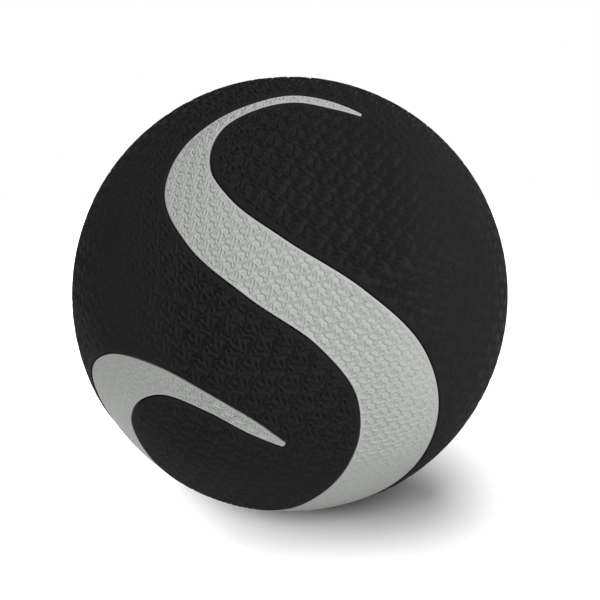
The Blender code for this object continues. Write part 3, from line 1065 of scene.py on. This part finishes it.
plug = turned("fill_plug_turned", plug_head() + plug_shank())

# %% [markdown]
# ## Filling neck
#
# The neck is a tube through the wall with a flange inside the ball, so that the sand presses it tighter.
# A cylinder and a disc could be joined for it, but the flange lies against the round inside of the ball.
# So it is turned too, with arcs for the flange's faces.

# %% Filling neck
FLANGE_OUTER, FLANGE_INNER = 0.1021, 0.1001
FLANGE_RADIUS, FLANGE_ROUND = 0.014, 0.0003


def neck_outline():
    """Down the tube, out along the flange, round its tip and back up the bore."""
    tube = [(0.0054, 0.1122), (0.0068, 0.1122), (0.007, 0.1120), (0.007, 0.1024)]
    outer = [(r, dome(FLANGE_OUTER, r)) for r in np.linspace(0.0074, 0.0138, 14)]
    tip = [
        (FLANGE_RADIUS, dome(FLANGE_OUTER, FLANGE_RADIUS) - FLANGE_ROUND),
        (FLANGE_RADIUS, dome(FLANGE_INNER, FLANGE_RADIUS) + FLANGE_ROUND),
    ]
    inner = [(r, dome(FLANGE_INNER, r)) for r in np.linspace(0.0138, 0.0047, 18)]
    return tube + outer + tip + inner + [(0.0045, 0.1003), (0.0051, 0.1119)]


neck = turned("fill_neck_turned", neck_outline())

# %% [markdown]
# ## Rubber
#
# Moulded rubber is never one flat colour. It is mottled by the mould, has a fine grain and is rubbed
# smoother on the ribs. The ribs also get a little painted shade, and the creases at their feet get the
# darkest painted shade. A painted texture would need seams and a picture file. The points of the grip
# keep two numbers, rib and crease shade, and the material reads those and two noises, one of broad
# clouds and one of fine grain. All the rubbers share this recipe.

# %% Rubber
CLOUDS = {"Scale": 45, "Detail": 6, "Roughness": 0.62}
GRAIN = {"Scale": 1700, "Detail": 3, "Roughness": 0.6}
GRAIN_BUMP = {"Strength": 0.35, "Distance": 0.00006}
MOTTLE = 2.2
# How much of each rib gets painted shade and is worn smoother.
WEAR_AND_SHADE_BASE = 0.35
# Strength of the painted shade in the creases.
CREASE_SHADE_SHARE = 0.8
GRAIN_ROUGHNESS, GRAIN_ROUGHNESS_BASE, WEAR_SMOOTHING = 0.18, 0.06, 0.05


def add_node(tree, kind, **inputs):
    made = tree.nodes.new("ShaderNode" + kind)
    for name, value in inputs.items():
        made.inputs[name].default_value = value
    return made


def on_points(tree, name):
    """A number that the mesh keeps on its points."""
    made = tree.nodes.new("ShaderNodeAttribute")
    made.attribute_name = name
    return made.outputs["Fac"]


def textures(tree, *kinds):
    """Texture nodes that sit in the piece's own space."""
    places = tree.nodes.new("ShaderNodeTexCoord").outputs["Object"]
    made = [add_node(tree, kind, **inputs) for kind, inputs in kinds]
    for node in made:
        feed(tree, node.inputs["Vector"], places)
    return made


def raise_bumps(tree, shader, height, **inputs):
    bump = add_node(tree, "Bump", **inputs)
    feed(tree, bump.inputs["Height"], height)
    feed(tree, shader.inputs["Normal"], bump.outputs[0])


def rubber(name, deep, bare, rib_shade, crease, rough, gloss):
    """Moulded rubber: deep and bare shades of the clouds, painted shade on ribs and creases, a grain."""
    material, tree, shader = new_material(name)
    noises = textures(tree, ("TexNoise", CLOUDS), ("TexNoise", GRAIN))
    clouds, grain = (noise.outputs["Fac"] for noise in noises)
    mottle = reckon(tree, "MULTIPLY", reckon(tree, "MULTIPLY", clouds, grain), MOTTLE)
    # Painted shade on the ribs, which are also worn smoother.
    wear_and_rib_shade = reckon(tree, "MULTIPLY", on_points(tree, "rib"), reckon(tree, "ADD", clouds, WEAR_AND_SHADE_BASE))
    wear_and_rib_shade = reckon(tree, "MINIMUM", wear_and_rib_shade, 1.0)
    # Painted shade in the creases at the ribs' feet.
    creased = reckon(tree, "POWER", on_points(tree, "crease"), 2.0)
    creased = reckon(tree, "MULTIPLY", creased, CREASE_SHADE_SHARE)
    colour = blend(tree, wear_and_rib_shade, blend(tree, mottle, deep, bare), rib_shade)
    feed(tree, shader.inputs["Base Color"], blend(tree, creased, colour, crease))
    dull = reckon(tree, "MULTIPLY", grain, GRAIN_ROUGHNESS)
    dull = reckon(tree, "ADD", dull, rough - GRAIN_ROUGHNESS_BASE)
    dull = reckon(tree, "SUBTRACT", dull, reckon(tree, "MULTIPLY", wear_and_rib_shade, WEAR_SMOOTHING))
    feed(tree, shader.inputs["Roughness"], dull)
    shader.inputs["Specular IOR Level"].default_value = gloss
    raise_bumps(tree, shader, grain, **GRAIN_BUMP)
    print(name, "has", len(tree.nodes), "nodes")
    return material


for kind, noise in (("clouds", CLOUDS), ("grain", GRAIN)):
    print(kind, "repeat about every", round(MM / noise["Scale"], 1), "mm")

# %% [markdown]
# ## Shades of rubber
#
# The cover is a matte black and the swirls a light, slightly greenish grey. Out of sight of the camera,
# the plug is a smoother black, the neck a brownish dark rubber, the core amber gum, the bladder satin
# butyl, and the ring behind the neck a rubber dusted with talc. One material with a tint for each piece
# would not do, because their gloss differs too, so each has a row of its own.

# %% Shades of rubber
# Name, deep and bare shades of the clouds, painted shade on the ribs and in the creases, roughness and
# gloss.
SHADES = (
    ("black_cover_rubber", even(0.015), even(0.0265), even(0.0165), even(0.011), 0.75, 0.02),
    ("grey_swirl_rubber", (0.448, 0.46, 0.444), (0.502, 0.515, 0.498),
     (0.418, 0.429, 0.415), (0.345, 0.354, 0.342), 0.7, 0.2),
    ("plug_black_rubber", even(0.006), (0.012, 0.012, 0.0118), even(0.016), even(0.006), 0.5, 0.35),
    ("neck_dark_rubber", (0.014, 0.013, 0.012), (0.024, 0.022, 0.02),
     even(0.03), even(0.01), 0.6, 0.3),
    ("gum_core_rubber", (0.30, 0.17, 0.07), (0.42, 0.26, 0.12),
     (0.45, 0.3, 0.15), (0.2, 0.1, 0.05), 0.45, 0.4),
    ("bladder_butyl", (0.010, 0.009, 0.009), (0.022, 0.020, 0.019),
     even(0.03), even(0.01), 0.42, 0.45),
    ("patch_talc_rubber", even(0.03), even(0.10), even(0.1), even(0.03), 0.75, 0.25),
)
black_cover, grey_swirl, plug_black, neck_dark, gum_core, butyl, talc_patch = (
    rubber(*row) for row in SHADES
)

# %% [markdown]
# ## Dress the outside
#
# A CAD piece could simply be given a material, but these seven are made anew with finer shapes. So each
# one rides on the CAD body that it belongs to and takes the place of its CAD node. The plug and its core
# ride on their own body, because they pull out together.

# %% Dress the outside
def add_piece(name, mesh, material, body, slot, *nodes):
    """Puts a mesh with its finish on a CAD body in place of CAD nodes."""
    piece = bpy.data.objects.new(name, mesh)
    mesh.materials.append(material)
    scene.collection.objects.link(piece)
    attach(piece, body)
    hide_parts(*nodes)
    print(name, "rides on", body)


add_piece("cover_upper_half", upper, black_cover, "ball", "black_rubber", "cover_upper")
add_piece("cover_lower_half", lower, black_cover, "ball", "black_rubber", "cover_lower")
add_piece("swirl_front_strip", front_strip, grey_swirl, "ball", "grey_rubber", "swirl_front")
add_piece("swirl_rear_strip", rear_strip, grey_swirl, "ball", "grey_rubber", "swirl_rear")
add_piece("fill_plug_body", plug, plug_black, "plug", "plug_rubber", "fill_plug")
add_piece("needle_core_body", core, gum_core, "plug", "gum_rubber", "needle_core")
add_piece("fill_neck_body", neck, neck_dark, "ball", "neck_rubber", "fill_neck")

# %% [markdown]
# ## Wound carcass
#
# Under the cover a carcass of nylon cord is wound over itself to keep the ball round. Modelled turn by
# turn it would be far too heavy for a layer that shows only when the ball is cut open. The CAD shape
# stays, and three wave textures that lie in different directions give the crossed cord.

# %% Wound carcass
CORD_LAYS = ((0.3, 0.2, 0), (1.3, 0.4, 0.9), (0.5, 1.2, 2.1))
# The gaps between the cords are painted shade, and the tops have the cord's own colour.
CORD_GAP_SHADE, CORD_TOP = (0.16, 0.14, 0.11), (0.52, 0.48, 0.40)
CORD_GAP_ROUGHNESS, CORD_TOP_SMOOTHING = 0.85, 0.3


def dress(node, material):
    """Gives a CAD piece that keeps its shape a finish of its own."""
    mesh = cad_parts[node].data
    mesh.materials.clear()
    mesh.materials.append(material)
    print(node, "is finished in", material.name)


def crossed_cord():
    """Nylon cord wound over itself in three directions."""
    material, tree, shader = new_material("wound_nylon_cord")
    layers = []
    for lay in textures(tree, *[("Mapping", {"Rotation": turn}) for turn in CORD_LAYS]):
        cord = add_node(tree, "TexWave", Scale=260, Distortion=1.5, Detail=1)
        feed(tree, cord.inputs["Vector"], lay.outputs[0])
        layers.append(cord.outputs["Fac"])
    top = reckon(tree, "MAXIMUM", reckon(tree, "MAXIMUM", layers[0], layers[1]), layers[2])
    # Painted shade in the gaps between the cords.
    feed(tree, shader.inputs["Base Color"], blend(tree, top, CORD_GAP_SHADE, CORD_TOP))
    smoothing = reckon(tree, "MULTIPLY", top, CORD_TOP_SMOOTHING)
    feed(tree, shader.inputs["Roughness"], reckon(tree, "SUBTRACT", CORD_GAP_ROUGHNESS, smoothing))
    raise_bumps(tree, shader, top, Strength=0.6, Distance=0.0004)
    return material


dress("wound_carcass", crossed_cord())

# %% [markdown]
# ## Sand, bladder and patch
#
# The fill is dry sand. It could be thousands of grains, but it is seen as one settled heap, so cells of
# a Voronoi texture stand for the grains and a noise for its pale and dark drifts. The bladder round it
# and the ring behind the neck keep their CAD shapes too, in their own rubbers.

# %% Sand, bladder and patch
# The last of these colours is painted shade between the grains.
SAND_DARK, SAND_PALE, SAND_GAP_SHADE = (0.36, 0.26, 0.15), (0.56, 0.44, 0.29), (0.22, 0.16, 0.10)
GAP_SHADE_SHARE = 1.2
SAND_ROUGHNESS, DRIFT_ROUGHNESS = 0.75, 0.2


def loose_sand():
    """Dry sand: grains under half a millimetre, heaped a little unevenly."""
    material, tree, shader = new_material("dry_silica_sand")
    kinds = (("TexVoronoi", {"Scale": 2200}), ("TexNoise", {"Scale": 60, "Detail": 4}))
    cells, drifts = textures(tree, *kinds)
    grains, drift = cells.outputs["Distance"], drifts.outputs["Fac"]
    # Painted shade between the grains, darker away from each grain's middle.
    gap_shade = reckon(tree, "MULTIPLY", grains, GAP_SHADE_SHARE)
    heap = blend(tree, drift, SAND_DARK, SAND_PALE)
    feed(tree, shader.inputs["Base Color"], blend(tree, gap_shade, heap, SAND_GAP_SHADE))
    dull = reckon(tree, "ADD", reckon(tree, "MULTIPLY", drift, DRIFT_ROUGHNESS), SAND_ROUGHNESS)
    feed(tree, shader.inputs["Roughness"], dull)
    raise_bumps(tree, shader, grains, Strength=0.8, Distance=0.0003)
    return material


dress("bladder", butyl)
dress("neck_patch", talc_patch)
dress("sand", loose_sand())
